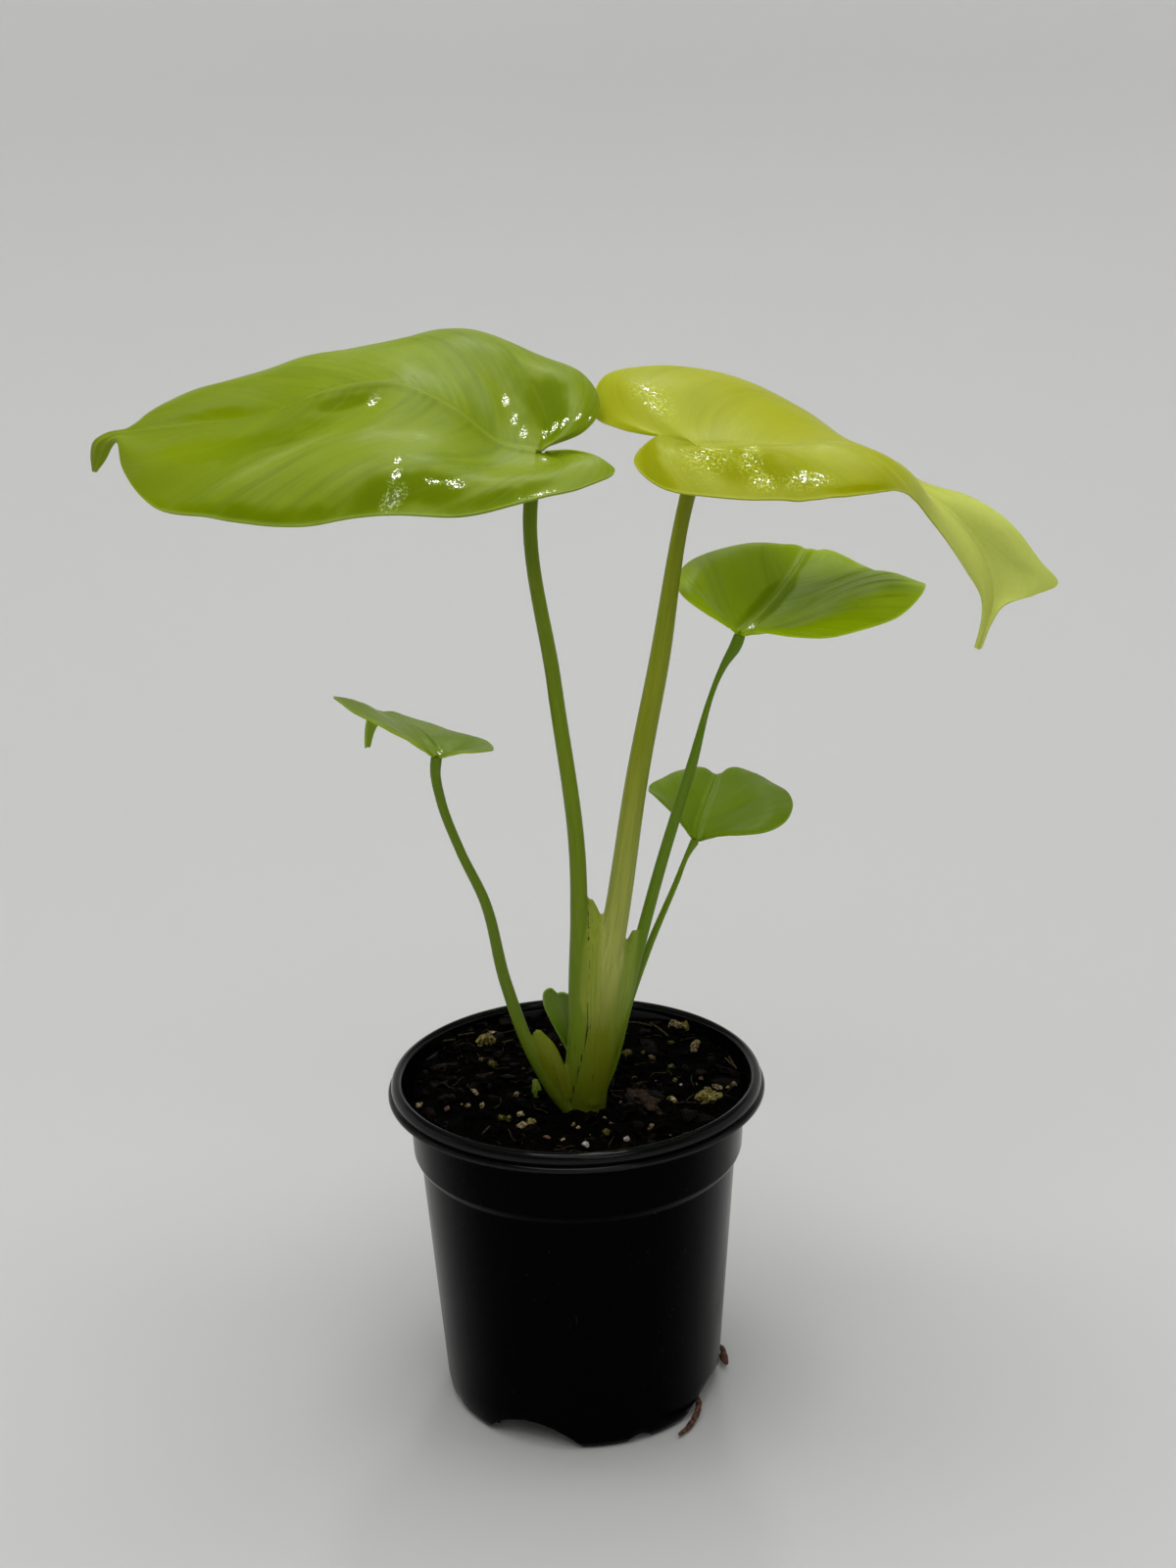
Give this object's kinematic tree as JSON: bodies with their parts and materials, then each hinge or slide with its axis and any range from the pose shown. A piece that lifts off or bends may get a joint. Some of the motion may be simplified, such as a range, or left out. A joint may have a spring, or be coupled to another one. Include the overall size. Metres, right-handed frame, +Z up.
{
  "type": "potted foliage plant",
  "caption": "Young monstera with heart-shaped leaves on long stalks, growing from a sheathed base in dark potting mix in a round black nursery pot with arched drains.",
  "frame": {"origin": "on the floor under the centre of the pot", "axes": "+Z up; the side that the picture shows faces -Y; the largest leaf reaches towards -X"},
  "size_m": [0.2564, 0.1084, 0.3059],
  "materials": {
    "pot": "black satin moulded plastic",
    "soil": "dark moist peat with bark and fibres",
    "leaf_green": "smooth mid-green leaf with wet sheen",
    "leaf_yellow": "smooth yellow-green leaf with soft sheen",
    "leaf_dark": "smooth green leaf with soft sheen",
    "leaf_pale": "smooth pale green leaf",
    "stalk_green": "smooth olive-green stem",
    "stalk_yellow": "smooth yellow-green stem with fine streaks",
    "root": "dry brown root"
  },
  "bodies": {
    "root": {"pot": "pot", "potting_mix": "soil", "blade_tall_left": "leaf_green", "blade_tall_right": "leaf_yellow", "blade_mid_right": "leaf_dark", "blade_low_right": "leaf_dark", "blade_low_left": "leaf_pale", "stalk_tall_left": "stalk_green", "stalk_tall_right": "stalk_yellow", "stalk_mid_right": "stalk_green", "stalk_low_right": "stalk_green", "stalk_low_left": "stalk_green", "plant_base": "stalk_yellow", "sprout_leaf": "leaf_dark", "sprout_tip": "stalk_green", "root_front": "root", "root_side": "root"}
  },
  "joints": []
}
